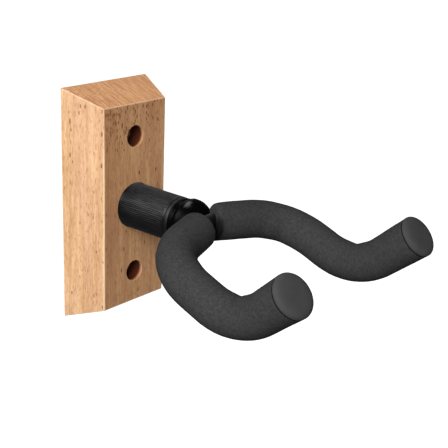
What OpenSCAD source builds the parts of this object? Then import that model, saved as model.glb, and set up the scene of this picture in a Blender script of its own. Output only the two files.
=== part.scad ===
// Wall guitar hanger: a bevelled wood block, a fluted post and a padded yoke that
// swivels on it. X runs along the wall, +Y goes into the wall and +Z is up.
// The origin is the centre of the block's back face, which lies on the wall.

/* [Wood block] */
// Width of the back face
block_w = 50; // [44:1:70]
// Height of the back face
block_h = 105; // [95:1:140]
// Thickness from the wall to the front face
block_t = 19.5; // [18:0.5:26]
// How far the bevel sets each edge of the front face in
bevel_in = 6.75; // [3:0.25:8]
// Distance between the two wall screws
screw_pitch = 62.5; // [56:0.5:76]
// Diameter of the hole for a wall screw's shank
screw_d = 4.8; // [4:0.1:6]
// Diameter of the counterbore for a wall screw's head
head_d = 9.5; // [8:0.25:11]
// Depth of the counterbore for a wall screw's head
head_depth = 9; // [4:0.5:12]

/* [Post] */
// Diameter of the sleeve
sleeve_d = 20; // [18:0.2:24]
// Distance from the wall to the sleeve's front end
sleeve_reach = 46.2; // [40:0.2:47.4]
// Depth of the seat that the sleeve stands in
seat_depth = 2; // [1:0.5:3]
// Number of flutes round the sleeve
flute_count = 72; // [24:4:96]
// How far the hub's rounded head stands proud of the sleeve
hub_swell = 0.7; // [0:0.1:1.5]
// Diameter of the threaded shank
shank_d = 8; // [6:1:10]

/* [Yoke] */
// Diameter of the steel rod
rod_d = 8; // [6:0.5:9]
// Distance from the wall to the rod's centre line where it crosses the hub
rod_reach = 63.8; // [63.4:0.2:70]
// Height of the rod's centre line above the post's axis at the hub
rod_rise = 2.9; // [0:0.1:5]
// Downward tilt of the yoke away from the wall, in degrees
yoke_tilt = 20.5; // [0:0.5:30]
// Forward lean of each arm as it leaves the hub, in degrees
arm_lean = 16; // [5:1:30]
// Length of the straight stretch beside the hub
outer_run = 14; // [8:0.5:25]
// Bend radius where each arm turns forward
side_bend_r = 24.5; // [20:0.5:30]
// Length of the straight stretch along the neck
side_run = 7.8; // [4:0.2:30]
// Bend radius where each arm turns up
tip_bend_r = 26; // [20:0.5:32]
// Angle that each tip turns up by
tip_angle = 61.5; // [30:0.5:80]
// Outward flare of each tip, in degrees
tip_flare = 2.5; // [0:0.5:10]
// Length of the straight stretch at the left tip, end cap included
left_tip_run = 18; // [16:0.5:40]
// Length of the straight stretch at the right tip, end cap included
right_tip_run = 21; // [16:0.5:40]

/* [Padding] */
// Outer diameter of the foam tubes
foam_d = 16.3; // [14:0.1:22]
// Rod left bare between the centre line and the left foam tube
left_bare = 8; // [7:0.5:10]
// Rod left bare between the centre line and the right foam tube
right_bare = 1.5; // [1:0.5:6]
// Angle that the right foam tube's inner end is cut at
right_skew = 28; // [0:1:30]
// Diameter of the end caps, which the foam's ends widen to
cap_d = 17.4; // [16:0.1:24]
// Thickness of the end caps
cap_t = 2.6; // [2:0.1:4]

/* [Hidden] */
$fn = 96;
past = 1;                                   // cutters run this far past a face

// Swivel bearing, as distances from the wall
barrel_d = 12;                              // outside of both bushes' barrels
barrel_len = 6;
turn_gap = 0.05;                            // radial running gap round the shank
face_gap = 0.1;                             // axial running gap at each thrust face
seat_gap = 0.25;                            // radial gap round the sleeve in its seat
flange_t = 2;                               // front bush's flange
flange_d = sleeve_d - 0.4;
hub_back = sleeve_reach + flange_t + face_gap;
saddle_in = 0.8;                            // how deep the rod sits in the hub's front
hub_front = rod_reach - rod_d / 2 + saddle_in;
hub_r = sleeve_d / 2 + hub_swell;
hub_edge_r = 8;                             // rounding of the head
cove_at = hub_back + 2.1;                   // middle of the shallow cove round the hub
cove_w = 2;
cove_depth = 0.3;
shank_front = 57;
flute_depth = 0.15;

// Lock nut recess in the block's back, as depths from the wall
recess_d = 23;
recess_depth = 11;
rear_flange_d = 18;
rear_flange_t = 1.5;
washer_d = 16;
washer_t = 1.6;
nut_across = 13;
nut_hex_t = 4.4;
nut_t = 6;
insert_d = 10.4;
insert_t = 1.2;
washer_at = recess_depth - rear_flange_t - face_gap - washer_t;
nut_at = washer_at - nut_t;
shank_back = nut_at - 0.6;

// Yoke and padding
bend_lap = 0.4;                             // each bend runs this far into its neighbours
bend_slim = 0.02;                           // and is this much slimmer, so they meet cleanly
middle_bend_r = 25;
middle_arc = middle_bend_r * arm_lean * PI / 180;
skew_room = 5.5;                            // a skewed foam end reaches up to this far past its start
plug_len = 8;                               // the end cap's plug in the foam's bore
rod_short = cap_t + plug_len + 0.5;         // the rod stops this far short of each tip
cap_edge_r = 1.9;
cope_gap = 0.3;                             // the foam stands this far off the hub

// Turns a shape built along +Z so that it stands out from the wall
module off_wall(distance = 0) { rotate([90, 0, 0]) translate([0, 0, distance]) children(); }

// Round disc or tube that starts at a distance from the wall
module ring(from, thick, outer_d, inner_d) {
    off_wall(from) difference() {
        cylinder(h = thick, d = outer_d);
        translate([0, 0, -past]) cylinder(h = thick + 2 * past, d = inner_d);
    }
}

// Outline of a bevelled side: full size at the wall, set in at the front
module bevel_outline(size) {
    polygon([[-size / 2, 0], [size / 2, 0],
             [size / 2 - bevel_in, block_t], [bevel_in - size / 2, block_t]]);
}

// Block with all four sides bevelled over its whole thickness
module bevelled_block() {
    intersection() {
        rotate([0, 0, 180]) linear_extrude(block_h, center = true) bevel_outline(block_w);
        rotate([180, 0, 0]) rotate([0, 90, 0])
            linear_extrude(block_w, center = true) bevel_outline(block_h);
    }
}

module wood_block() {
    color("burlywood") difference() {
        bevelled_block();
        off_wall(-past) cylinder(h = block_t + 2 * past, d = barrel_d);
        off_wall(-past) cylinder(h = recess_depth + past, d = recess_d);
        off_wall(block_t - seat_depth) cylinder(h = seat_depth + past, d = sleeve_d + 2 * seat_gap);
        for (z = [-1, 1] * screw_pitch / 2) translate([0, 0, z]) {
            off_wall(-past) cylinder(h = block_t + 2 * past, d = screw_d);
            off_wall(block_t - head_depth) cylinder(h = head_depth + past, d = head_d);
        }
    }
}

// Round section with V flutes cut all round it
module fluted_outline() {
    difference() {
        circle(d = sleeve_d);
        for (i = [0 : flute_count - 1]) rotate(i * 360 / flute_count)
            translate([sleeve_d / 2, 0]) rotate(45) square(flute_depth * sqrt(2), center = true);
        circle(d = barrel_d);
    }
}

// Sleeve with a plain band at each end
module sleeve() {
    back = block_t - seat_depth;
    back_band = seat_depth + 1;
    front_band = 1.2;
    color("#1b1c1e") {
        ring(back, back_band, sleeve_d, barrel_d);
        off_wall(back + back_band)
            linear_extrude(sleeve_reach - back - back_band - front_band) fluted_outline();
        ring(sleeve_reach - front_band, front_band, sleeve_d, barrel_d);
    }
}

module front_bush() {
    bore_d = shank_d + 2 * turn_gap;
    color("#0d0d0e") {
        ring(sleeve_reach - barrel_len, barrel_len + 0.01, barrel_d, bore_d);
        ring(sleeve_reach, flange_t, flange_d, bore_d);
    }
}

module rear_bush() {
    bore_d = shank_d + 2 * turn_gap;
    color("#e8e6df") {
        ring(recess_depth - 0.01, barrel_len + 0.01, barrel_d, bore_d);
        ring(recess_depth - rear_flange_t, rear_flange_t, rear_flange_d, bore_d);
    }
}

// Half section of the hub: radius across, distance from the wall upwards
module hub_section() {
    radius = sleeve_d / 2;
    cove_r = (cove_w * cove_w / 4 + cove_depth * cove_depth) / (2 * cove_depth);
    difference() {
        union() {
            translate([0, hub_back]) square([radius, cove_at - hub_back]);
            translate([0, cove_at]) square([hub_r - hub_edge_r, hub_front - cove_at]);
            translate([0, cove_at]) square([hub_r, hub_front - hub_edge_r - cove_at]);
            translate([hub_r - hub_edge_r, hub_front - hub_edge_r]) intersection() {
                circle(hub_edge_r);
                square(hub_edge_r);
            }
        }
        translate([radius - cove_depth + cove_r, cove_at]) circle(cove_r);
        translate([0, hub_back - past]) square([shank_d / 2, shank_front - hub_back + past]);
    }
}

// Hub with a saddle in its front that the rod is welded into
module hub() {
    color("#101011") difference() {
        off_wall() rotate_extrude() hub_section();
        middle_bend();
        both_arms() at_outer_run() run(outer_run, rod_d / 2, rod_d / 2);
    }
}

module shank() {
    color("silver") off_wall(shank_back) cylinder(h = shank_front - shank_back, d = shank_d);
}

// Round bar along +X, which may widen towards its end
module run(length, radius, end_radius) {
    rotate([0, 90, 0]) cylinder(h = length, r1 = radius, r2 = end_radius);
}

// Round bar that starts along +X and turns towards +Y
module bend(bend_r, angle, radius) {
    lap_angle = bend_lap * 180 / PI / bend_r;
    translate([0, bend_r, 0]) rotate([0, 0, -90 - lap_angle])
        rotate_extrude(angle = angle + 2 * lap_angle)
            translate([bend_r, 0]) circle(radius - bend_slim);
}

// Places what follows a bend
module turned(bend_r, angle) {
    translate([0, bend_r, 0]) rotate([0, 0, angle]) translate([0, -bend_r, 0]) children();
}

// Stations along the left arm. At each one +X runs along the rod.
module at_middle() {
    translate([0, -rod_reach, rod_rise]) rotate([yoke_tilt, 0, 0]) rotate([0, 0, 180]) children();
}
module at_outer_run() { at_middle() turned(middle_bend_r, arm_lean) children(); }
module at_side_bend() { at_outer_run() translate([outer_run, 0, 0]) children(); }
module at_side_run() { at_side_bend() turned(side_bend_r, 90 - arm_lean) children(); }
module at_tip_bend() {
    at_side_run() translate([side_run, 0, 0]) rotate([90 + tip_flare, 0, 0]) children();
}
module at_tip_run() { at_tip_bend() turned(tip_bend_r, tip_angle) children(); }

// Bar along the left arm, from a bare length off the centre line to a last run
module arm_bar(radius, bare, last_run, tip_radius) {
    bare_angle = min(bare, middle_arc) * 180 / PI / middle_bend_r;
    bare_run = max(bare - middle_arc, 0);
    if (bare < middle_arc)
        at_middle() turned(middle_bend_r, bare_angle)
            bend(middle_bend_r, arm_lean - bare_angle, radius);
    at_outer_run() translate([bare_run, 0, 0]) run(outer_run - bare_run, radius, radius);
    at_side_bend() bend(side_bend_r, 90 - arm_lean, radius);
    at_side_run() run(side_run, radius, radius);
    at_tip_bend() bend(tip_bend_r, tip_angle, radius);
    at_tip_run() run(last_run, radius, tip_radius);
}

module both_arms() {
    children();
    mirror([1, 0, 0]) children();
}

// The rod's bend across the hub, from one arm to the other
module middle_bend() {
    at_middle() turned(middle_bend_r, -arm_lean) bend(middle_bend_r, 2 * arm_lean, rod_d / 2);
}

module yoke_rod() {
    color("#161617") {
        middle_bend();
        arm_bar(rod_d / 2, middle_arc, left_tip_run - rod_short, rod_d / 2);
        mirror([1, 0, 0]) arm_bar(rod_d / 2, middle_arc, right_tip_run - rod_short, rod_d / 2);
    }
}

// Foam tube on the left arm, bored for the rod and coped round the hub. A skewed inner
// end reaches further towards the middle at the front than at the back.
module arm_foam(bare, skew, tip_run) {
    start = bare - (skew > 0 ? skew_room : 0);
    bare_angle = bare * 180 / PI / middle_bend_r;
    big = 4 * foam_d;
    difference() {
        arm_bar(foam_d / 2, start, tip_run - cap_t, cap_d / 2);
        arm_bar(rod_d / 2, start - past, tip_run, rod_d / 2);
        off_wall(hub_back) cylinder(h = hub_front + cope_gap - hub_back, r = hub_r + cope_gap);
        if (skew > 0)
            at_middle() turned(middle_bend_r, bare_angle) rotate([0, 0, skew])
                translate([-big, -big / 2, -big / 2]) cube(big);
    }
}

module left_foam() { color("#3a3a3c") arm_foam(left_bare, 0, left_tip_run); }
module right_foam() {
    color("#3a3a3c") mirror([1, 0, 0]) arm_foam(right_bare, right_skew, right_tip_run);
}

// Round cap on the left arm's tip, with a plug in the foam's bore
module arm_cap(tip_run) {
    at_tip_run() translate([tip_run - cap_t, 0, 0]) rotate([0, 90, 0]) {
        rotate_extrude() {
            square([cap_d / 2, cap_t - cap_edge_r]);
            square([cap_d / 2 - cap_edge_r, cap_t]);
            translate([cap_d / 2 - cap_edge_r, cap_t - cap_edge_r]) intersection() {
                circle(cap_edge_r);
                square(cap_edge_r);
            }
        }
        translate([0, 0, -plug_len]) cylinder(h = plug_len + 0.01, d = rod_d);
    }
}

module left_end_cap() { color("#444446") arm_cap(left_tip_run); }
module right_end_cap() { color("#444446") mirror([1, 0, 0]) arm_cap(right_tip_run); }

module washer() { color("silver") ring(washer_at, washer_t, washer_d, shank_d + 0.4); }

// Nut with a round collar that holds the nylon insert
module lock_nut() {
    across_corners = nut_across / cos(30);
    hex_at = washer_at - nut_hex_t;
    color("silver") difference() {
        union() {
            off_wall(hex_at) cylinder(h = nut_hex_t, d = across_corners, $fn = 6);
            off_wall(nut_at) cylinder(h = nut_t - nut_hex_t + 0.01, d = nut_across - 0.6);
        }
        off_wall(nut_at - past) cylinder(h = nut_t + 2 * past, d = shank_d);
        off_wall(nut_at + 0.3) cylinder(h = insert_t, d = insert_d);
    }
}

module nut_insert() { color("royalblue") ring(nut_at + 0.3, insert_t, insert_d, shank_d); }

wood_block();
sleeve();
front_bush();
rear_bush();
hub();
shank();
yoke_rod();
left_foam();
right_foam();
left_end_cap();
right_end_cap();
washer();
lock_nut();
nut_insert();
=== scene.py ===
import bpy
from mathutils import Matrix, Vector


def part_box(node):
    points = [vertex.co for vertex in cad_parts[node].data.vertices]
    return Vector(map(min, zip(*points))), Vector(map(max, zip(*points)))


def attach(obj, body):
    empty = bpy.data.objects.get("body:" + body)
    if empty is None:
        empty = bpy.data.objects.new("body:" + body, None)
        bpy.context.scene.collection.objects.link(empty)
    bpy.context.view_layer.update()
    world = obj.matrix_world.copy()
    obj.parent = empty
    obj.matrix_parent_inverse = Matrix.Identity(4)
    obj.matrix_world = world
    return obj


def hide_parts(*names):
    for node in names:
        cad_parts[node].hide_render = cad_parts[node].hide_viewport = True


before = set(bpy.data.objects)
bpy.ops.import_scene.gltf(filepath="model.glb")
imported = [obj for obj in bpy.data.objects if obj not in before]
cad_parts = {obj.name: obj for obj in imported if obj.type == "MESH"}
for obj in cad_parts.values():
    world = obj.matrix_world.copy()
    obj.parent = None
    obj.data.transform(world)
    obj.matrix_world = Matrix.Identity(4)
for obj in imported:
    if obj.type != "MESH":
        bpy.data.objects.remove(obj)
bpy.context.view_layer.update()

import math

import bmesh
import bpy
from mathutils import Matrix, Vector, noise

# Wall guitar hanger. Lengths are in metres in the model's own frame: X along the wall,
# +Y into the wall, +Z up, with the origin at the middle of the block's back face.
MM = 0.001
PAST = 1 * MM                       # cutters run this far past a face

# ---------------------------------------------------------------- driving dimensions
block_lo, block_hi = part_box("wood_block")
sleeve_lo, sleeve_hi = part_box("sleeve")
bush_lo, bush_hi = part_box("front_bush")
rear_lo, rear_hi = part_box("rear_bush")
hub_lo, hub_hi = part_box("hub")
shank_lo, shank_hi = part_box("shank")
washer_lo, washer_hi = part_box("washer")
nut_lo, nut_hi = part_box("lock_nut")
insert_lo, insert_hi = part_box("nut_insert")

BLOCK_W = block_hi.x - block_lo.x
BLOCK_H = block_hi.z - block_lo.z
BLOCK_T = -block_lo.y
BEVEL_IN = 6.75 * MM                # how far the bevel sets each edge of the front in
BLOCK_EDGE_R = 0.45 * MM
SCREW_PITCH = 62.5 * MM
SCREW_R = 2.4 * MM
HEAD_R = 4.75 * MM
HEAD_DEPTH = 9 * MM
RECESS_R = 11.5 * MM
RECESS_DEPTH = 11 * MM
BARREL_R = 6 * MM
SEAT_DEPTH = 2 * MM
SEAT_GAP = 0.25 * MM                # all round the sleeve in its seat
BORE_GAP = 0.05 * MM                # all round the shank in its bushes

SLEEVE_R = sleeve_hi.x
SEAT_R = SLEEVE_R + SEAT_GAP
SLEEVE_REACH = -sleeve_lo.y
HUB_R = hub_hi.x
HUB_BACK = -hub_hi.y
HUB_FRONT = -hub_lo.y
HUB_EDGE_R = 8 * MM
COVE_AT = HUB_BACK + 2.1 * MM
COVE_W = 2 * MM
COVE_DEPTH = 0.3 * MM
SHANK_R = shank_hi.x
BORE_R = SHANK_R + BORE_GAP

ROD_R = 4 * MM
ROD_REACH = 63.8 * MM
ROD_RISE = 2.9 * MM
YOKE_TILT = math.radians(20.5)
ARM_LEAN = math.radians(16)
MIDDLE_BEND_R = 25 * MM
OUTER_RUN = 14 * MM
SIDE_BEND_R = 24.5 * MM
SIDE_RUN = 7.8 * MM
TIP_BEND_R = 26 * MM
TIP_ANGLE = math.radians(61.5)
TIP_FLARE = math.radians(2.5)
LEFT_TIP_RUN = 18 * MM
RIGHT_TIP_RUN = 21 * MM
FOAM_R = 8.15 * MM
LEFT_BARE = 8 * MM
RIGHT_BARE = 1.5 * MM
RIGHT_SKEW = math.radians(28)
CAP_R = 8.7 * MM
CAP_T = 2.6 * MM
HAIR = 0.01 * MM                    # margin in comparisons of lengths


# ---------------------------------------------------------------- mesh helpers
def new_object(name, bm):
    """The mesh as an object with outward faces and smooth shading."""
    bmesh.ops.recalc_face_normals(bm, faces=bm.faces)
    mesh = bpy.data.meshes.new(name)
    bm.to_mesh(mesh)
    bm.free()
    mesh.shade_smooth()
    obj = bpy.data.objects.new(name, mesh)
    bpy.context.scene.collection.objects.link(obj)
    return obj


def keep_flats(obj):
    """Weights the normals by face area, so that a rounded edge doesn't shade its flats."""
    modifier = obj.modifiers.new("normals", "WEIGHTED_NORMAL")
    modifier.weight = 100
    return obj


def filleted(corners, steps=5):
    """Section points from (radius, depth, fillet) corners of a closed outline."""
    points = []
    for i, (r, depth, fillet) in enumerate(corners):
        here = Vector((r, depth))
        if not fillet:
            points.append(here)
            continue
        before = Vector(corners[i - 1][:2]) - here
        after = Vector(corners[(i + 1) % len(corners)][:2]) - here
        half = before.angle(after) / 2
        reach = fillet / math.tan(half)
        start = here + before.normalized() * reach
        end = here + after.normalized() * reach
        inward = (before.normalized() + after.normalized()).normalized()
        centre = here + inward * fillet / math.sin(half)
        for k in range(steps + 1):
            point = start.lerp(end, k / steps) - centre
            points.append(centre + point.normalized() * fillet)
    return points


def revolve(name, section, steps=128, reshape=None):
    """Turns a closed outline of (radius, depth from the wall) points about the post's axis.
    An outline that starts and ends on the axis gives a solid, any other a ring."""
    bm = bmesh.new()
    solid = section[0][0] == 0
    rings = []
    for r, depth in section:
        if r == 0:
            rings.append([bm.verts.new((0, -depth, 0))])
            continue
        ring = []
        for k in range(steps):
            angle = 2 * math.pi * k / steps
            radius = reshape(angle, r, depth) if reshape else r
            ring.append(bm.verts.new((radius * math.cos(angle), -depth, radius * math.sin(angle))))
        rings.append(ring)
    pairs = list(zip(rings, rings[1:])) + ([] if solid else [(rings[-1], rings[0])])
    for a, b in pairs:
        for k in range(steps):
            corners = [a[k % len(a)], a[(k + 1) % len(a)], b[(k + 1) % len(b)], b[k % len(b)]]
            bm.faces.new(list(dict.fromkeys(corners)))
    return new_object(name, bm)


def cut(obj, cutter):
    """Takes the cutter's shape out of the object and deletes the cutter."""
    modifier = obj.modifiers.new("cut", "BOOLEAN")
    modifier.object = cutter
    modifier.solver = "EXACT"
    bpy.context.view_layer.update()
    mesh = bpy.data.meshes.new_from_object(obj.evaluated_get(bpy.context.evaluated_depsgraph_get()))
    obj.modifiers.clear()
    obj.data = mesh
    bpy.data.objects.remove(cutter)


# ---------------------------------------------------------------- material helpers
class Finish:
    """A material under construction. Inputs are constants or other nodes' sockets."""

    def __init__(self, name):
        self.material = bpy.data.materials.new(name)
        self.material.use_nodes = True
        self.tree = self.material.node_tree
        self.tree.nodes.clear()
        self.place = self.add("ShaderNodeTexCoord").outputs["Object"]

    def add(self, kind, inputs=None, **settings):
        node = self.tree.nodes.new(kind)
        for key, value in settings.items():
            setattr(node, key, value)
        for key, value in (inputs or {}).items():
            socket = node.inputs[key]
            if isinstance(value, bpy.types.NodeSocket):
                self.tree.links.new(value, socket)
            else:
                socket.default_value = value
        return node

    def math(self, operation, a, b=0.0):
        return self.add("ShaderNodeMath", {0: a, 1: b}, operation=operation).outputs[0]

    def times(self, a, b):
        return self.math("MULTIPLY", a, b)

    def plus(self, a, b):
        return self.math("ADD", a, b)

    def scaled(self, sizes):
        """Coordinates in which a pattern's cell is sizes (x, y, z) across, in metres."""
        scale = tuple(1 / size for size in sizes)
        return self.add("ShaderNodeVectorMath", {0: self.place, 1: scale}, operation="MULTIPLY").outputs[0]

    def noise(self, sizes, detail=2.0, roughness=0.5):
        inputs = {"Vector": self.scaled(sizes), "Scale": 1.0, "Detail": detail, "Roughness": roughness}
        return self.add("ShaderNodeTexNoise", inputs).outputs["Fac"]

    def cells(self, sizes):
        """Distance from the nearest cell's centre, and three random numbers for that cell."""
        inputs = {"Vector": self.scaled(sizes), "Scale": 1.0}
        found = self.add("ShaderNodeTexVoronoi", inputs, feature="F1").outputs
        return found["Distance"], self.add("ShaderNodeSeparateColor", {0: found["Color"]}).outputs

    def split(self, vector):
        return self.add("ShaderNodeSeparateXYZ", {0: vector}).outputs

    def ramp(self, value, low, high, low_to=0.0, high_to=1.0):
        inputs = {"Value": value, "From Min": low, "From Max": high, "To Min": low_to, "To Max": high_to}
        return self.add("ShaderNodeMapRange", inputs, interpolation_type="SMOOTHSTEP").outputs[0]

    def mix(self, amount, a, b):
        node = self.add("ShaderNodeMix", data_type="RGBA")
        for index, value in ((0, amount), (6, a), (7, b)):
            if isinstance(value, bpy.types.NodeSocket):
                self.tree.links.new(value, node.inputs[index])
            else:
                node.inputs[index].default_value = value if index == 0 else (*value, 1.0)
        return node.outputs[2]

    def tint(self, amount, colour, tint):
        node = self.add("ShaderNodeMix", data_type="RGBA", blend_type="MULTIPLY")
        self.tree.links.new(amount, node.inputs[0])
        self.tree.links.new(colour, node.inputs[6])
        node.inputs[7].default_value = (*tint, 1.0)
        return node.outputs[2]

    def bump(self, height, distance, strength=1.0):
        inputs = {"Height": height, "Distance": distance, "Strength": strength}
        return self.add("ShaderNodeBump", inputs).outputs["Normal"]

    def done(self, **inputs):
        """Closes the material with a Principled shader. Underscores in names stand for spaces."""
        shader = self.add("ShaderNodeBsdfPrincipled")
        for key, value in inputs.items():
            socket = shader.inputs[key.replace("_", " ")]
            if isinstance(value, bpy.types.NodeSocket):
                self.tree.links.new(value, socket)
            else:
                is_colour = isinstance(value, tuple)
                socket.default_value = (*value, 1.0) if is_colour else value
        output = self.add("ShaderNodeOutputMaterial")
        self.tree.links.new(shader.outputs[0], output.inputs["Surface"])
        return self.material


# ---------------------------------------------------------------- materials
def beech(name, part="face"):
    """Oiled beech with upright grain: soft streaks, dark ray flecks and hatched end grain.
    The part is "face", "edge" (a painted highlight along the softened edges) or "bored" (painted shade
    inside a screw recess)."""
    f = Finish(name)
    x, y, z = f.split(f.place)
    facing = f.split(f.add("ShaderNodeNewGeometry").outputs["Normal"])
    front = f.ramp(facing[1], -0.97, -0.75, 1.0, 0.0)
    end = f.ramp(f.math("ABSOLUTE", facing[2]), 0.72, 0.90)

    broad = f.noise((3.2 * MM, 5 * MM, 60 * MM), detail=2.0, roughness=0.55)
    streak = f.noise((1.1 * MM, 1.6 * MM, 17 * MM), detail=3.0, roughness=0.6)
    fibre = f.noise((0.42 * MM, 0.42 * MM, 3.0 * MM), detail=2.0, roughness=0.7)
    tone = f.plus(f.times(broad, 0.36), f.times(streak, 0.34))
    tone = f.plus(tone, f.times(fibre, 0.30))
    colour = f.mix(f.ramp(tone, 0.36, 0.64), (0.595, 0.318, 0.150), (0.88, 0.57, 0.318))
    pink = f.ramp(f.noise((4.5 * MM, 9 * MM, 80 * MM), detail=1.0), 0.42, 0.66)
    colour = f.mix(f.times(pink, 0.30), colour, (0.66, 0.36, 0.24))

    # Ray flecks crowd towards the front's left edge and upper end
    off_centre, pick = f.cells((1.3 * MM, 1.3 * MM, 3.6 * MM))
    off_edge = f.plus(f.math("ABSOLUTE", f.plus(x, 18 * MM)), f.times(f.plus(y, BLOCK_T), 0.5))
    high = f.times(f.ramp(z, 18 * MM, 46 * MM, 0.0, 0.42), f.ramp(x, -19 * MM, 12 * MM, 1.0, 0.3))
    crowd = f.plus(f.ramp(off_edge, 0.0, 10 * MM, 0.42, 0.0), f.times(high, front))
    crowd = f.plus(crowd, f.times(f.noise((12 * MM, 12 * MM, 22 * MM)), 0.42))
    chosen = f.ramp(f.plus(pick[0], crowd), 0.98, 1.10)
    size = f.plus(f.ramp(pick[1], 0.0, 1.0, 0.16, 0.34), f.times(high, 0.22))
    spot = f.ramp(f.math("SUBTRACT", size, off_centre), 0.0, 0.10)
    fleck = f.times(f.times(spot, chosen), f.ramp(pick[2], 0.0, 1.0, 0.35, 0.90))
    colour = f.mix(fleck, colour, (0.22, 0.070, 0.026))

    # A dense patch of smaller ones near the front's upper left corner, in redder wood
    patch = f.times(f.ramp(z, 20 * MM, 42 * MM), f.ramp(x, -16 * MM, 12 * MM, 1.0, 0.25))
    patch = f.times(patch, front)
    off_centre, pick = f.cells((0.95 * MM, 0.95 * MM, 2.3 * MM))
    picked = f.ramp(f.plus(pick[0], f.times(patch, 0.78)), 1.0, 1.08)
    mark = f.ramp(f.math("SUBTRACT", f.ramp(pick[1], 0.0, 1.0, 0.34, 0.56), off_centre), 0.0, 0.16)
    colour = f.mix(f.times(patch, 0.18), colour, (0.58, 0.29, 0.165))
    colour = f.mix(f.times(f.times(mark, picked), 0.82), colour, (0.20, 0.064, 0.028))
    redder = f.times(f.ramp(x, -18 * MM, -6 * MM, 0.34, 0.0), front)
    colour = f.mix(redder, colour, (0.50, 0.235, 0.105))

    # Short dark dashes and pores along the grain
    dash = f.ramp(f.noise((0.70 * MM, 0.70 * MM, 2.6 * MM), detail=1.0), 0.54, 0.68)
    colour = f.mix(f.times(dash, 0.42), colour, (0.42, 0.20, 0.09))
    pore = f.ramp(f.noise((0.16 * MM, 0.16 * MM, 1.6 * MM), detail=1.0), 0.58, 0.75)
    colour = f.mix(f.times(pore, 0.20), colour, (0.30, 0.135, 0.06))

    # Sawn end grain
    hatch = f.ramp(f.noise((0.62 * MM, 9 * MM, 60 * MM), detail=1.0), 0.36, 0.62)
    sawn = f.mix(hatch, (0.56, 0.295, 0.135), (0.86, 0.545, 0.300))
    nick = f.ramp(f.noise((2.0 * MM, 0.60 * MM, 60 * MM), detail=1.0), 0.50, 0.66)
    nick = f.times(nick, f.ramp(x, -22 * MM, 14 * MM, 0.75, 0.35))
    sawn = f.mix(nick, sawn, (0.52, 0.215, 0.095))
    colour = f.mix(f.times(end, 0.85), colour, sawn)

    # Tints by facing: the front and the end-grain faces are made darker and more saturated than the sides,
    # as painted shade over their own colour.
    colour = f.tint(front, colour, (0.785, 0.70, 0.62))
    colour = f.tint(end, colour, (0.95, 0.80, 0.67))
    # Painted highlight along the softened edges, stronger towards the bottom.
    if part == "edge":
        colour = f.mix(f.ramp(z, 15 * MM, 44 * MM, 0.62, 0.20), colour, (0.96, 0.72, 0.46))
    # Painted shade inside the front screw recesses: a darker rim colour on their walls, going near-black
    # with depth.
    if part == "bored":
        deep_shade = f.ramp(f.plus(y, BLOCK_T), 0.0, 1.9 * MM)
        in_front = f.ramp(y, -12 * MM, -11 * MM, 1.0, 0.0)
        colour = f.mix(f.times(in_front, 0.6), colour, (0.42, 0.18, 0.075))
        colour = f.mix(f.times(deep_shade, in_front), colour, (0.085, 0.022, 0.010))

    raised = f.plus(f.times(streak, 0.4), f.times(fibre, 0.6))
    height = f.math("SUBTRACT", raised, f.plus(f.times(fleck, 0.5), f.times(pore, 0.5)))
    rough = 0.75 if part == "bored" else 0.52
    return f.done(Base_Color=colour, Roughness=f.ramp(fibre, 0.2, 0.8, rough + 0.08, rough - 0.06),
                  Specular_IOR_Level=0.05 if part == "bored" else 0.3,
                  Normal=f.bump(height, 0.05 * MM, 0.8))


def foam_finish():
    """Matte closed-cell foam with fine cells, with a painted shadow in a band beside the hub."""
    f = Finish("foam")
    mottle = f.noise((1.3 * MM,) * 3, detail=2.0, roughness=0.6)
    grain = f.noise((0.48 * MM,) * 3, detail=2.0, roughness=0.7)
    bubble, _ = f.cells((0.34 * MM,) * 3)
    tone = f.plus(f.times(mottle, 0.45), f.times(grain, 0.55))
    colour = f.mix(f.ramp(tone, 0.33, 0.67), (0.031, 0.031, 0.032), (0.053, 0.053, 0.054))
    x = f.split(f.place)[0]
    # Painted shadow: a near-black band across the foam beside the hub, from x = -7 to 1.2 mm.
    hub_shadow = f.ramp(x, -1.4 * MM, 1.2 * MM, 1.0, 0.0)
    hub_shadow = f.times(hub_shadow, f.ramp(x, -7.0 * MM, -6.0 * MM))
    colour = f.mix(f.times(hub_shadow, 0.92), colour, (0.004, 0.004, 0.0045))
    height = f.plus(f.times(grain, 0.6), f.times(bubble, 0.7))
    return f.done(Base_Color=colour, Roughness=0.95, Specular_IOR_Level=0.06,
                  Normal=f.bump(height, 0.10 * MM, 0.5))


def rubber_finish():
    """Smooth moulded rubber, a little lighter than the foam."""
    f = Finish("cap_rubber")
    cloud = f.noise((4 * MM,) * 3, detail=3.0)
    skin = f.noise((0.20 * MM,) * 3, detail=2.0)
    colour = f.mix(cloud, (0.043, 0.043, 0.044), (0.056, 0.056, 0.057))
    return f.done(Base_Color=colour, Roughness=f.ramp(cloud, 0.3, 0.7, 0.72, 0.82),
                  Specular_IOR_Level=0.12, Normal=f.bump(skin, 0.03 * MM, 0.4))


def rod_finish():
    """Black paint over steel with a faint orange peel and uneven gloss."""
    f = Finish("rod_black")
    black = (0.004, 0.004, 0.0045)
    cloud = f.noise((3.5 * MM,) * 3, detail=4.0, roughness=0.6)
    peel = f.noise((0.45 * MM,) * 3, detail=1.0)
    specks = f.ramp(f.noise((0.22 * MM,) * 3, detail=1.0), 0.66, 0.76)
    colour = f.mix(f.times(specks, 0.5), black, tuple(4 * c for c in black))
    return f.done(Base_Color=colour, Roughness=f.ramp(cloud, 0.25, 0.75, 0.336, 0.525),
                  Specular_IOR_Level=0.20, Normal=f.bump(peel, 0.015 * MM, 0.5))


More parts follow.
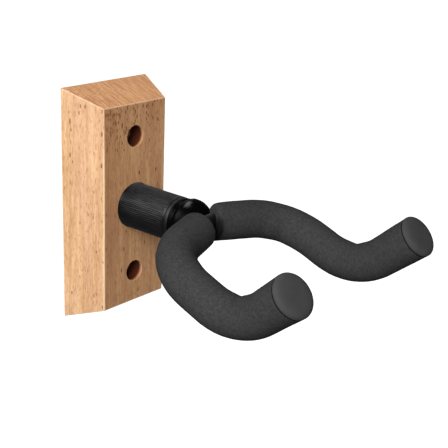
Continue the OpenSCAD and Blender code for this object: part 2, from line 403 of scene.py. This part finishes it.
def hub_finish():
    """Dull black paint, rubbed to a shine in a patch beside the rod."""
    f = Finish("hub_black")
    patch = (-3.4 * MM, -53.4 * MM, 9.8 * MM)
    off_patch = f.add("ShaderNodeVectorMath", {0: f.place, 1: patch}, operation="DISTANCE")
    turned = f.noise((9 * MM, 1.3 * MM, 9 * MM), detail=1.0)
    cloud = f.noise((3.5 * MM,) * 3, detail=4.0, roughness=0.6)
    ragged = f.plus(off_patch.outputs["Value"], f.times(cloud, 2 * MM))
    rubbed = f.ramp(ragged, 1.8 * MM, 4.8 * MM, 1.0, 0.0)
    rubbed = f.times(rubbed, f.ramp(turned, 0.44, 0.56, 0.06, 1.0))
    return f.done(Base_Color=(0.0015, 0.0015, 0.0018), Roughness=f.ramp(rubbed, 0.0, 1.0, 0.30, 0.48),
                  Specular_IOR_Level=f.ramp(rubbed, 0.0, 1.0, 0.02, 0.60),
                  Normal=f.bump(turned, 0.03 * MM, 0.4))


def sleeve_finish():
    """Satin black over turned metal, with faint drawing lines along the post."""
    f = Finish("sleeve_black")
    lines = f.noise((0.42 * MM, 9 * MM, 0.42 * MM), detail=2.0, roughness=0.6)
    cloud = f.noise((5 * MM, 9 * MM, 5 * MM), detail=3.0)
    worn = f.ramp(f.noise((0.9 * MM, 0.5 * MM, 0.9 * MM), detail=3.0), 0.62, 0.80)
    colour = f.mix(f.times(worn, 0.25), (0.003, 0.003, 0.0034), (0.02, 0.02, 0.022))
    colour = f.mix(f.ramp(lines, 0.45, 0.62, 0.0, 0.3), colour, (0.009, 0.009, 0.010))
    return f.done(Base_Color=colour, Roughness=f.ramp(cloud, 0.3, 0.7, 0.36, 0.46),
                  Specular_IOR_Level=f.ramp(lines, 0.38, 0.64, 0.15, 0.29),
                  Normal=f.bump(lines, 0.02 * MM, 0.4))


def nylon(name, dark, light, roughness=0.6, shine=0.4):
    """Moulded nylon, slightly cloudy."""
    f = Finish(name)
    cloud = f.noise((2.5 * MM,) * 3, detail=3.0)
    skin = f.noise((0.25 * MM,) * 3, detail=2.0)
    uneven = f.ramp(cloud, 0.3, 0.7, roughness - 0.06, roughness + 0.08)
    return f.done(Base_Color=f.mix(cloud, dark, light), Roughness=uneven, Specular_IOR_Level=shine,
                  Normal=f.bump(skin, 0.02 * MM, 0.5))


def zinc():
    """Bright zinc plate over steel, with tool marks and dull patches."""
    f = Finish("zinc_steel")
    cloud = f.noise((2.8 * MM,) * 3, detail=4.0, roughness=0.65)
    marks = f.noise((0.18 * MM, 0.9 * MM, 0.18 * MM), detail=2.0)
    colour = f.mix(cloud, (0.50, 0.51, 0.53), (0.74, 0.74, 0.72))
    return f.done(Base_Color=colour, Metallic=1.0, Roughness=f.ramp(cloud, 0.3, 0.7, 0.30, 0.48),
                  Normal=f.bump(marks, 0.03 * MM, 0.5))


FINISHES = {
    "beech": beech("beech"),
    "beech_edge_highlight": beech("beech_edge_highlight", "edge"),
    "beech_bored_shade": beech("beech_bored_shade", "bored"),
    "sleeve_black": sleeve_finish(),
    "bush_black": nylon("bush_black", (0.003, 0.003, 0.0034), (0.006, 0.006, 0.0065), 0.45, 0.22),
    "bush_natural": nylon("bush_natural", (0.66, 0.64, 0.58), (0.80, 0.78, 0.73)),
    "hub_black": hub_finish(),
    "rod_black": rod_finish(),
    "zinc_steel": zinc(),
    "foam": foam_finish(),
    "cap_rubber": rubber_finish(),
    # Near-black seam finish where foam meets cap: partly a glue line, partly painted shade in the groove.
    "seam_glue_and_shade": nylon("seam_glue_and_shade", (0.003, 0.003, 0.003), (0.006, 0.006, 0.006), 0.9, 0.0),
    "nylon_blue": nylon("nylon_blue", (0.03, 0.10, 0.34), (0.05, 0.16, 0.46), 0.5),
}


def dress(obj, slot, body, *nodes):
    """Gives a piece its finish and its body, and hides the CAD nodes it stands for."""
    obj.data.materials.append(FINISHES[slot])
    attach(obj, body)
    if nodes:
        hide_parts(*nodes)
    return obj


# ---------------------------------------------------------------- wood block
def block_blank():
    """Block with four bevelled sides and softened edges."""
    bm = bmesh.new()
    corners = {}
    for depth, inset in ((0, 0), (BLOCK_T, BEVEL_IN)):
        for sx in (-1, 1):
            for sz in (-1, 1):
                place = (sx * (BLOCK_W / 2 - inset), -depth, sz * (BLOCK_H / 2 - inset))
                corners[depth, sx, sz] = bm.verts.new(place)
    around = ((-1, -1), (1, -1), (1, 1), (-1, 1))
    for depth in (0, BLOCK_T):
        bm.faces.new([corners[(depth, *c)] for c in around])
    for a, b in zip(around, around[1:] + around[:1]):
        bm.faces.new([corners[(0, *a)], corners[(0, *b)], corners[(BLOCK_T, *b)], corners[(BLOCK_T, *a)]])
    bmesh.ops.recalc_face_normals(bm, faces=bm.faces)
    bmesh.ops.bevel(bm, geom=bm.edges[:], offset=BLOCK_EDGE_R, offset_type="OFFSET", segments=4,
                    profile=0.5, affect="EDGES")
    return new_object("bevelled_block", bm)


def drill(front_r, front_depth, through_r, back_r=None, back_depth=0, lip=0.22 * MM, height=0):
    """Cutter for a stepped hole through the block, with a softened rim at each open end."""
    back_r = back_r or through_r
    step_r = 0.25 * MM
    outline = [(0, -PAST, 0), (back_r + lip, -PAST, 0), (back_r + lip, 0, 0)]
    for k in range(1, 6):
        turn = math.radians(90 * k / 5)
        outline.append((back_r + lip * (1 - math.sin(turn)), lip * (1 - math.cos(turn)), 0))
    if back_depth:
        outline += [(back_r, back_depth, step_r), (through_r, back_depth, 0)]
    outline += [(through_r, BLOCK_T - front_depth, 0), (front_r, BLOCK_T - front_depth, step_r)]
    for k in range(6):
        turn = math.radians(90 * k / 5)
        outline.append((front_r + lip * (1 - math.cos(turn)), BLOCK_T - lip * (1 - math.sin(turn)), 0))
    outline += [(front_r + lip, BLOCK_T + PAST, 0), (0, BLOCK_T + PAST, 0)]
    cutter = revolve("cutter", [tuple(p) for p in filleted(outline)], steps=96)
    cutter.data.transform(Matrix.Translation((0, 0, height)))
    return cutter


def wood_block():
    """Drilled block. Its softened edges get a finish with a painted highlight and its holes one with painted
    shade.
    """
    block = block_blank()
    cut(block, drill(SEAT_R, SEAT_DEPTH, BARREL_R, RECESS_R, RECESS_DEPTH, lip=0.12 * MM))
    for side in (-1, 1):
        cut(block, drill(HEAD_R, HEAD_DEPTH, SCREW_R, height=side * SCREW_PITCH / 2))
    dress(block, "beech", "wall_base", "wood_block")
    block.data.materials.append(FINISHES["beech_edge_highlight"])
    block.data.materials.append(FINISHES["beech_bored_shade"])
    slope = math.atan2(BEVEL_IN, BLOCK_T)
    flats = [Vector((0, -1, 0)), Vector((0, 1, 0))]
    for side in (-1, 1):
        flats.append(Vector((side * math.cos(slope), -math.sin(slope), 0)))
        flats.append(Vector((0, -math.sin(slope), side * math.cos(slope))))
    holes = ((0, SEAT_R), (0, RECESS_R), (SCREW_PITCH / 2, HEAD_R), (-SCREW_PITCH / 2, HEAD_R))
    for face in block.data.polygons:
        c = face.center
        on_flat = max(face.normal.dot(flat) for flat in flats) > math.cos(math.radians(5))
        in_hole = any(math.hypot(c.x, c.z - height) < radius + 0.25 * MM for height, radius in holes)
        if in_hole and 0.05 * MM < -c.y < BLOCK_T - HAIR:
            face.material_index = 2
        elif not on_flat:
            face.material_index = 1
    block.visible_glossy = False        # the black parts would mirror it far too strongly
    return keep_flats(block)


# ---------------------------------------------------------------- post
FLUTES = 72
FLUTE_W = 0.34 * MM
FLUTE_DEPTH = 0.09 * MM
FLUTE_STEPS = 10                    # points round one flute


def sleeve():
    """Sleeve with fine flutes between two plain bands."""
    back = BLOCK_T - SEAT_DEPTH
    band_end = BLOCK_T + 1.0 * MM
    front_band = SLEEVE_REACH - 1.2 * MM
    run_out = 0.4 * MM

    def fluted(angle, radius, depth):
        if radius < SLEEVE_R - HAIR or depth < band_end or depth > front_band:
            return radius
        phase = (angle * FLUTES / (2 * math.pi)) % 1 - 0.5
        across = abs(phase) * 2 * math.pi * SLEEVE_R / FLUTES / (FLUTE_W / 2)
        fade = min(1, (depth - band_end) / run_out, (front_band - depth) / run_out)
        return radius - max(0, 1 - across ** 2) * FLUTE_DEPTH * fade

    corners = [(BARREL_R, back, 0.3 * MM), (SLEEVE_R, back, 0.3 * MM)]
    outline = filleted(corners + [(SLEEVE_R, SLEEVE_REACH, 0.15 * MM), (BARREL_R, SLEEVE_REACH, 0.3 * MM)])
    section = []
    for a, b in zip(outline, outline[1:] + outline[:1]):
        section.append(tuple(a))
        if (b - a).length > 20 * MM and a.x > SLEEVE_R - HAIR:
            for depth in (band_end, band_end + run_out, front_band - run_out, front_band):
                section.append((SLEEVE_R, depth))
    obj = revolve("post_sleeve", section, steps=FLUTES * FLUTE_STEPS, reshape=fluted)
    return keep_flats(dress(obj, "sleeve_black", "wall_base", "sleeve"))


def flanged_bush(name, node, slot, barrel_end, flange_in, flange_out, flange_r, rim):
    """Nylon bush: a barrel with a flange whose outer rim is rounded. The flange_in face is towards
    the barrel. Depths run from the wall."""
    ease = 0.22 * MM
    section = filleted([(BORE_R, barrel_end, ease), (BARREL_R, barrel_end, ease),
                        (BARREL_R, flange_in, ease), (flange_r, flange_in, ease),
                        (flange_r, flange_out, rim), (BORE_R, flange_out, ease)])
    obj = revolve(name, [tuple(p) for p in section])
    return keep_flats(dress(obj, slot, "wall_base", node))


def bushes():
    """The black bush in front, and the natural one in the block's back."""
    flanged_bush("front_bearing", "front_bush", "bush_black", -bush_hi.y, SLEEVE_REACH, -bush_lo.y,
                 bush_hi.x, 0.9 * MM)
    flanged_bush("rear_bearing", "rear_bush", "bush_natural", -rear_lo.y, RECESS_DEPTH, -rear_hi.y,
                 rear_hi.x, 0.3 * MM)


# ---------------------------------------------------------------- fastening at the back
THREAD_PITCH = 1.25 * MM
THREAD_DEPTH = 0.62 * MM
THREAD_LEN = 12 * MM
THREAD_CHAMFER = 0.75 * MM


def shank():
    """Shank with a rolled thread at the wall end."""
    back, front = -shank_hi.y, -shank_lo.y

    def threaded(angle, radius, depth):
        if depth > back + THREAD_LEN or depth < back + 0.02 * MM:
            return radius
        phase = (depth / THREAD_PITCH + angle / (2 * math.pi)) % 1
        flank = min(1, max(0, abs(phase - 0.5) * 2.6 - 0.15))
        fade = min(1, (back + THREAD_LEN - depth) / (1.5 * MM))
        return min(radius, SHANK_R - THREAD_DEPTH * (1 - flank) * fade)

    end_r = SHANK_R - THREAD_CHAMFER
    section = [(0, back), (end_r, back)]
    steps = int(THREAD_LEN / (0.1 * MM))
    for k in range(1, steps + 1):
        depth = back + THREAD_LEN * k / steps
        section.append((min(SHANK_R, end_r + (depth - back)), depth))
    section += [(SHANK_R, front), (0, front)]
    obj = revolve("threaded_shank", section, steps=72, reshape=threaded)
    return dress(obj, "zinc_steel", "yoke", "shank")


def washer():
    """Flat washer, rounder on its wall side."""
    lo, hi = -washer_hi.y, -washer_lo.y
    bore = SHANK_R + 0.2 * MM
    corners = [(bore, lo, 0.1 * MM), (washer_hi.x, lo, 0.35 * MM),
               (washer_hi.x, hi, 0.12 * MM), (bore, hi, 0.1 * MM)]
    section = [tuple(p) for p in filleted(corners)]
    return keep_flats(dress(revolve("plain_washer", section), "zinc_steel", "yoke", "washer"))


def lock_nut():
    """Hexagon nut with chamfered corners and a rolled collar over the nylon insert."""
    back, front = -nut_hi.y, -nut_lo.y
    half_flats = nut_hi.z
    hex_back = back + 1.6 * MM
    collar_r = half_flats - 0.3 * MM
    roll_r = 0.8 * MM
    chamfer = 0.75 * MM

    def hexed(angle, radius, depth):
        if radius < collar_r + HAIR or depth < hex_back:
            return radius
        side = half_flats / math.cos(angle % (math.pi / 3) - math.pi / 6)
        end = min(depth - hex_back, front - depth)
        limit = half_flats - 0.05 * MM + end * 1.75
        return min(side, limit, radius)

    corner_r = half_flats / math.cos(math.pi / 6)
    section = [(insert_hi.x, back + 0.35 * MM), (insert_hi.x, back + 0.12 * MM),
               (insert_hi.x + 0.1 * MM, back)]
    for k in range(6):
        turn = math.radians(90 * k / 5)
        section.append((collar_r - roll_r * (1 - math.sin(turn)), back + roll_r * (1 - math.cos(turn))))
    section += [(collar_r, hex_back - 0.02 * MM), (corner_r, hex_back)]
    for k in range(1, 7):
        section.append((corner_r, hex_back + chamfer * k / 6))
    for k in range(6, -1, -1):
        section.append((corner_r, front - chamfer * k / 6))
    section += [(SHANK_R + 0.4 * MM, front), (SHANK_R, front - 0.4 * MM), (SHANK_R, back + 0.35 * MM)]
    obj = revolve("locking_nut", section, steps=240, reshape=hexed)
    return keep_flats(dress(obj, "zinc_steel", "yoke", "lock_nut"))


def nut_insert():
    """Nylon ring that grips the thread."""
    lo, hi = -insert_hi.y, -insert_lo.y
    grip_r = SHANK_R - 0.15 * MM
    corners = [(grip_r, lo, 0.15 * MM), (insert_hi.x, lo, 0.1 * MM), (insert_hi.x, hi, 0.1 * MM),
               (grip_r, hi, 0.1 * MM)]
    section = [tuple(p) for p in filleted(corners)]
    return keep_flats(dress(revolve("nut_nylon_ring", section), "nylon_blue", "yoke", "nut_insert"))


# ---------------------------------------------------------------- arms
def arm_stations(mirrored, step=0.6 * MM):
    """(distance, matrix) pairs along an arm's centre line. +X runs along the rod."""
    here = (Matrix.Translation((0, -ROD_REACH, ROD_RISE)) @ Matrix.Rotation(YOKE_TILT, 4, "X")
            @ Matrix.Rotation(math.pi, 4, "Z"))
    flip = Matrix.Diagonal((-1, 1, 1, 1)) if mirrored else Matrix.Identity(4)
    roll = Matrix.Rotation(math.pi / 2 + TIP_FLARE, 4, "X")
    legs = (("bend", MIDDLE_BEND_R, ARM_LEAN), ("run", OUTER_RUN, 0),
            ("bend", SIDE_BEND_R, math.pi / 2 - ARM_LEAN), ("run", SIDE_RUN, 0), ("roll", 0, 0),
            ("bend", TIP_BEND_R, TIP_ANGLE), ("run", RIGHT_TIP_RUN if mirrored else LEFT_TIP_RUN, 0))
    unroll = Matrix.Identity(4)
    distance = 0
    stations = [(0, flip @ here)]
    for kind, size, angle in legs:
        if kind == "roll":
            here = here @ roll
            unroll = roll.inverted()
            continue
        length = size * angle if kind == "bend" else size
        count = math.ceil(length / step)
        start = here
        for k in range(1, count + 1):
            if kind == "bend":
                turn = Matrix.Rotation(angle * k / count, 4, "Z")
                here = start @ Matrix.Translation((0, size, 0)) @ turn @ Matrix.Translation((0, -size, 0))
            else:
                here = start @ Matrix.Translation((size * k / count, 0, 0))
            stations.append((distance + length * k / count, flip @ here @ unroll))
        distance += length
    return stations


def between(stations, distance):
    """The matrix at any distance along the stations."""
    for (a, ma), (b, mb) in zip(stations, stations[1:]):
        if a <= distance <= b:
            return ma.lerp(mb, (distance - a) / (b - a))
    return stations[-1][1]


def off_hub(p, gap):
    """Pushes a point out of the hub's rounded front by the shortest way."""
    radial = math.hypot(p.x, p.z)
    a = radial - (HUB_R - HUB_EDGE_R)
    b = -p.y - (HUB_FRONT - HUB_EDGE_R)
    outside = math.hypot(max(a, 0), max(b, 0))
    depth = outside - HUB_EDGE_R + min(max(a, b), 0)
    if depth >= gap or radial == 0:
        return p
    if outside:
        ga, gb = max(a, 0) / outside, max(b, 0) / outside
    else:
        ga, gb = (1, 0) if a > b else (0, 1)
    push = gap - depth
    return p + Vector((p.x / radial * ga, -gb, p.z / radial * ga)) * push


def skin(bm, rings, seam=()):
    """Faces between neighbouring rings of points, with a face over each end. The bands whose
    numbers are in seam get the second material."""
    count = len(rings[0])
    for band, (a, b) in enumerate(zip(rings, rings[1:])):
        for k in range(count):
            face = bm.faces.new([a[k], a[(k + 1) % count], b[(k + 1) % count], b[k]])
            face.material_index = 1 if band in seam else 0
    bm.faces.new(rings[0])
    bm.faces.new(rings[-1])


RING_POINTS = 96
SADDLE_RUN = 20 * MM                # each way from the middle, past the hub's sides


def ring_at(bm, place, radius, shape=None):
    """Ring of points round an arm's centre line. A shape may move each one."""
    ring = []
    for k in range(RING_POINTS):
        angle = 2 * math.pi * k / RING_POINTS
        point = place @ Vector((0, radius * math.cos(angle), radius * math.sin(angle)))
        ring.append(bm.verts.new(shape(point, angle) if shape else point))
    return ring


def hub():
    """Hub with a cove, a rounded head and a saddle for the rod."""
    cove_r = (COVE_W ** 2 / 4 + COVE_DEPTH ** 2) / (2 * COVE_DEPTH)
    centre = SLEEVE_R - COVE_DEPTH + cove_r
    ease = 0.3 * MM
    shank_front = -shank_lo.y
    section = [(0, shank_front), (SHANK_R, shank_front), (SHANK_R, HUB_BACK), (SLEEVE_R - ease, HUB_BACK)]
    for k in range(1, 5):
        turn = math.radians(90 * k / 4)
        section.append((SLEEVE_R - ease * (1 - math.sin(turn)), HUB_BACK + ease * (1 - math.cos(turn))))
    low = -math.acos((centre - SLEEVE_R) / cove_r)
    high = math.acos((centre - HUB_R) / cove_r)
    for k in range(13):
        turn = low + (high - low) * k / 12
        section.append((centre - cove_r * math.cos(turn), COVE_AT + cove_r * math.sin(turn)))
    for k in range(13):
        turn = math.radians(90 * k / 12)
        section.append((HUB_R - HUB_EDGE_R * (1 - math.cos(turn)),
                        HUB_FRONT - HUB_EDGE_R * (1 - math.sin(turn))))
    section.append((0, HUB_FRONT))
    obj = revolve("hub_body", section, steps=144)

    bm = bmesh.new()
    rings = []
    for mirrored in (False, True):
        places = [place for distance, place in arm_stations(mirrored) if distance < SADDLE_RUN]
        places = places[1:] if mirrored else reversed(places)
        rings += [ring_at(bm, place, ROD_R) for place in places]
    skin(bm, rings)
    cut(obj, new_object("cutter", bm))
    return keep_flats(dress(obj, "hub_black", "yoke", "hub"))


FOAM_ROUND = 1.5 * MM               # the cut end beside the hub has softened
SEAM_ROUND = 0.38 * MM
FOAM_OFF_HUB = 0.15 * MM
PINCH_REACH = 3 * MM
SKEW_REACH = 14 * MM
MIDDLE_ARC = MIDDLE_BEND_R * ARM_LEAN
SIDE_ARC = SIDE_BEND_R * (math.pi / 2 - ARM_LEAN)
TIP_ARC = TIP_BEND_R * TIP_ANGLE
# Middle of each bend, half its length, and the side that its inside faces
BENDS = ((MIDDLE_ARC + OUTER_RUN + SIDE_ARC / 2, SIDE_ARC / 2, 0.0),
         (MIDDLE_ARC + OUTER_RUN + SIDE_ARC + SIDE_RUN + TIP_ARC / 2, TIP_ARC / 2, math.pi / 2 + TIP_FLARE))


def crease(distance, angle):
    """How far the foam bulges, or sinks where it creases, on the inside of a bend."""
    total = 0
    for middle, half, side in BENDS:
        across = (distance - middle) / half
        inside = max(0, math.cos(angle - side)) ** 2
        bulge = 0.15 * math.exp(-((abs(across) - 0.60) / 0.35) ** 2)
        sink = 0.50 * math.exp(-(across / 0.24) ** 2)
        total += inside * (bulge - sink)
    return total * MM


def foam(name, node, mirrored, bare, skew):
    """Foam tube drawn over the rod. It is creased inside its bends, widens to its cap, and is
    squashed where it meets the hub. A skewed inner end reaches further in at the front."""
    stations = arm_stations(mirrored)
    tip = stations[-1][0]
    end = tip - CAP_T
    widening = tip - (RIGHT_TIP_RUN if mirrored else LEFT_TIP_RUN)
    pinch = 0.8 * MM if skew else 0.3 * MM

    def radius_at(distance):
        radius = FOAM_R + (CAP_R - FOAM_R) * max(0, distance - widening) / (end - widening)
        return radius - pinch * math.exp(-(distance - bare) / PINCH_REACH)

    rows = [(bare, ROD_R * 0.6)]
    for k in range(9):
        turn = math.radians(90 * k / 8)
        distance = bare + FOAM_ROUND * (1 - math.cos(turn))
        rows.append((distance, radius_at(distance) - FOAM_ROUND * (1 - math.sin(turn))))
    inner = [d for d, _ in stations if bare + FOAM_ROUND + 0.2 * MM < d < end - SEAM_ROUND - 0.2 * MM]
    rows += [(d, radius_at(d)) for d in inner]
    for k in range(5):
        turn = math.radians(90 * k / 4)
        rows.append((end - SEAM_ROUND * (1 - math.sin(turn)), CAP_R - SEAM_ROUND * (1 - math.cos(turn))))
    rows.append((end, ROD_R * 0.6))
    bm = bmesh.new()
    rings = []
    for distance, radius in rows:
        place = between(stations, distance)
        slant = math.tan(skew) * max(0, 1 - (distance - bare) / SKEW_REACH) ** 2

        def shape(point, angle):
            out = (place.to_3x3() @ Vector((0, math.cos(angle), math.sin(angle)))).normalized()
            along = (place.to_3x3() @ Vector((1, 0, 0))).normalized()
            point = point - along * slant * radius * math.cos(angle)
            if radius > ROD_R:
                swell = noise.noise(point / (7 * MM)) * 0.10 * MM
                swell += noise.noise(point / (1.6 * MM)) * 0.025 * MM
                point = point + out * (swell + crease(distance, angle))
            return off_hub(point, FOAM_OFF_HUB)

        rings.append(ring_at(bm, place, radius, shape))
    # The last bands before the cap get the seam finish: glue line and painted shade.
    skin(bm, rings, seam=range(len(rings) - 5, len(rings) - 1))
    obj = dress(new_object(name, bm), "foam", "yoke", node)
    obj.data.materials.append(FINISHES["seam_glue_and_shade"])
    return obj


def end_cap(name, node, mirrored):
    """Rubber cap with a pillowed face, and a groove where it meets the foam."""
    stations = arm_stations(mirrored)
    tip, far = stations[-1]
    pillow = 2.1 * MM
    seam = 0.34 * MM
    joint = tip - CAP_T
    rows = [(joint - seam, ROD_R), (joint - seam, CAP_R - 1.3 * MM), (joint, CAP_R - 1.1 * MM)]
    for k in range(5):
        turn = math.radians(90 * k / 4)
        rows.append((joint + seam * (1 - math.cos(turn)), CAP_R - seam * (1 - math.sin(turn))))
    for k in range(24):
        turn = math.radians(90 * k / 24)
        rows.append((tip - pillow * (1 - math.sin(turn)), CAP_R * math.cos(turn) ** 0.4))
    bm = bmesh.new()
    rings = []
    for distance, radius in rows:
        rings.append(ring_at(bm, far @ Matrix.Translation((distance - tip, 0, 0)), radius))
    # The cap's first bands get the seam finish: glue line and painted shade.
    skin(bm, rings, seam=range(6))
    obj = dress(new_object(name, bm), "cap_rubber", "yoke", node)
    obj.data.materials.append(FINISHES["seam_glue_and_shade"])
    return obj


wood_block()
sleeve()
bushes()
hub()
shank()
washer()
lock_nut()
nut_insert()
foam("left_foam_tube", "left_foam", False, LEFT_BARE, 0.0)
foam("right_foam_tube", "right_foam", True, RIGHT_BARE, RIGHT_SKEW)
end_cap("left_tip_cap", "left_end_cap", False)
end_cap("right_tip_cap", "right_end_cap", True)
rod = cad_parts["yoke_rod"]
rod.data.materials.clear()
rod.data.materials.append(FINISHES["rod_black"])


# ---------------------------------------------------------------- stage, light and camera
def floor():
    """Wide pale floor well below the hanger."""
    bm = bmesh.new()
    half, level = 12.0, -0.55
    around = ((-1, -1), (1, -1), (1, 1), (-1, 1))
    bm.faces.new([bm.verts.new((sx * half, sy * half, level)) for sx, sy in around])
    obj = new_object("floor", bm)
    f = Finish("floor")
    cloud = f.noise((0.2, 0.2, 0.2), detail=2.0)
    colour = f.mix(cloud, (0.90, 0.90, 0.90), (0.93, 0.93, 0.93))
    obj.data.materials.append(f.done(Base_Color=colour, Roughness=0.8, Emission_Color=(1.0, 1.0, 1.0),
                                     Emission_Strength=1.0))
    obj.visible_diffuse = False
    obj.visible_glossy = False


def area_light(name, direction, distance, size, power, gloss_only=False):
    """Square light aimed at the post. A gloss_only one shows in reflections alone."""
    data = bpy.data.lights.new(name, "AREA")
    data.size = size
    data.energy = power
    obj = bpy.data.objects.new(name, data)
    bpy.context.scene.collection.objects.link(obj)
    aim = Vector((0, -0.06, 0))
    away = Vector(direction).normalized()
    obj.location = aim + away * distance
    obj.rotation_euler = (-away).to_track_quat("-Z", "Y").to_euler()
    obj.visible_diffuse = not gloss_only
    return obj


def lights():
    """Soft studio light, and a white world that only the view itself sees at full strength."""
    area_light("key", (-0.80, -0.34, 0.51), 0.9, 0.55, 11.5)
    area_light("front_fill", (0.1, -1.0, 0.22), 1.4, 1.0, 2.0)
    area_light("back_fill", (0.6, 0.9, 0.4), 1.5, 1.0, 1.4)
    area_light("sheen", (-0.66, 0.42, 0.62), 0.9, 0.45, 9, gloss_only=True)
    area_light("top_sheen", (0.28, 0.38, 0.88), 0.9, 0.25, 1.6, gloss_only=True)
    world = bpy.data.worlds.new("studio")
    bpy.context.scene.world = world
    world.use_nodes = True
    tree = world.node_tree
    tree.nodes.clear()
    path = tree.nodes.new("ShaderNodeLightPath")
    seen = tree.nodes.new("ShaderNodeBackground")
    seen.inputs["Color"].default_value = (1, 1, 1, 1)
    seen.inputs["Strength"].default_value = 1.0
    soft = tree.nodes.new("ShaderNodeBackground")
    soft.inputs["Color"].default_value = (0.93, 0.96, 1.0, 1)
    soft.inputs["Strength"].default_value = 0.12
    mix = tree.nodes.new("ShaderNodeMixShader")
    output = tree.nodes.new("ShaderNodeOutputWorld")
    tree.links.new(path.outputs["Is Camera Ray"], mix.inputs[0])
    tree.links.new(soft.outputs[0], mix.inputs[1])
    tree.links.new(seen.outputs[0], mix.inputs[2])
    tree.links.new(mix.outputs[0], output.inputs["Surface"])


def camera():
    """View from the front left and above."""
    azimuth = math.radians(50.09)
    drop = math.radians(19.69)
    roll = math.radians(2.42)
    distance = 440.3 * MM
    target = Vector((32.96, -43.75, -10.70)) * MM
    ahead = Vector((math.sin(azimuth) * math.cos(drop), math.cos(azimuth) * math.cos(drop), -math.sin(drop)))
    right = Vector((math.cos(azimuth), -math.sin(azimuth), 0))
    up = right.cross(ahead)
    tilted_right = right * math.cos(roll) + up * math.sin(roll)
    tilted_up = up * math.cos(roll) - right * math.sin(roll)
    data = bpy.data.cameras.new("camera")
    data.sensor_width = 36
    data.lens = 77.7327
    data.clip_start = 0.01
    data.clip_end = 100
    obj = bpy.data.objects.new("camera", data)
    bpy.context.scene.collection.objects.link(obj)
    axes = Matrix((tilted_right, tilted_up, -ahead)).transposed().to_4x4()
    obj.matrix_world = Matrix.Translation(target - ahead * distance) @ axes
    bpy.context.scene.camera = obj


floor()
lights()
camera()
bpy.context.scene.view_settings.view_transform = "Standard"
